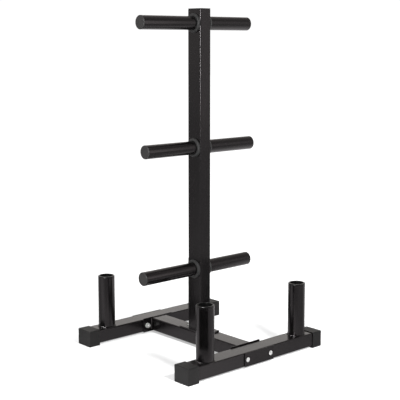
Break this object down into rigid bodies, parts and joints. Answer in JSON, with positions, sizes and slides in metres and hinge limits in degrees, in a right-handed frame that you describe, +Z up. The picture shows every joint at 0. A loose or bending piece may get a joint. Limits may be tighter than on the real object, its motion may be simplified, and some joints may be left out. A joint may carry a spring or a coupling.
{
  "type": "weight plate tree",
  "caption": "Free-standing rack on an H-shaped base: a rectangular post carries round horizontal pegs for disc weights, and upright tubes on the legs hold bars.",
  "frame": {"origin": "on the floor, midway between the two legs, under the axis of the post", "axes": "+Z up along the post, X along the pegs and the legs, Y along the cross beam from leg to leg"},
  "size_m": [0.665, 0.6444, 1.26],
  "materials": {
    "frame_black": "semi-gloss black powder coat",
    "trim_black": "fine satin moulded plastic",
    "boot_rubber": "matte rubber",
    "zinc": "bright zinc plate"
  },
  "bodies": {
    "root": {"cross_beam": "frame_black", "leg_tube_near": "frame_black", "inner_plate_near": "frame_black", "outer_plate_near": "frame_black", "boot_near_left": "boot_rubber", "bar_holder_near_left": "frame_black", "holder_liner_near_left": "trim_black", "leg_bolt_near_left": "zinc", "leg_washer_near_left": "zinc", "leg_nut_near_left": "zinc", "boot_near_right": "boot_rubber", "bar_holder_near_right": "frame_black", "holder_liner_near_right": "trim_black", "leg_bolt_near_right": "zinc", "leg_washer_near_right": "zinc", "leg_nut_near_right": "zinc", "leg_tube_far": "frame_black", "inner_plate_far": "frame_black", "outer_plate_far": "frame_black", "boot_far_left": "boot_rubber", "bar_holder_far_left": "frame_black", "holder_liner_far_left": "trim_black", "leg_bolt_far_left": "zinc", "leg_washer_far_left": "zinc", "leg_nut_far_left": "zinc", "boot_far_right": "boot_rubber", "bar_holder_far_right": "frame_black", "holder_liner_far_right": "trim_black", "leg_bolt_far_right": "zinc", "leg_washer_far_right": "zinc", "leg_nut_far_right": "zinc", "foot_plate": "frame_black", "post": "frame_black", "post_cap": "trim_black", "foot_bolt_near": "zinc", "foot_washer_near": "zinc", "foot_nut_near": "zinc", "foot_bolt_far": "zinc", "foot_washer_far": "zinc", "foot_nut_far": "zinc", "peg_tube_low": "frame_black", "collar_low_left": "trim_black", "peg_plug_low_left": "trim_black", "collar_low_right": "trim_black", "peg_plug_low_right": "trim_black", "peg_tube_mid": "frame_black", "collar_mid_left": "trim_black", "peg_plug_mid_left": "trim_black", "collar_mid_right": "trim_black", "peg_plug_mid_right": "trim_black", "peg_tube_top": "frame_black", "collar_top_left": "trim_black", "peg_plug_top_left": "trim_black", "collar_top_right": "trim_black", "peg_plug_top_right": "trim_black"}
  },
  "joints": []
}
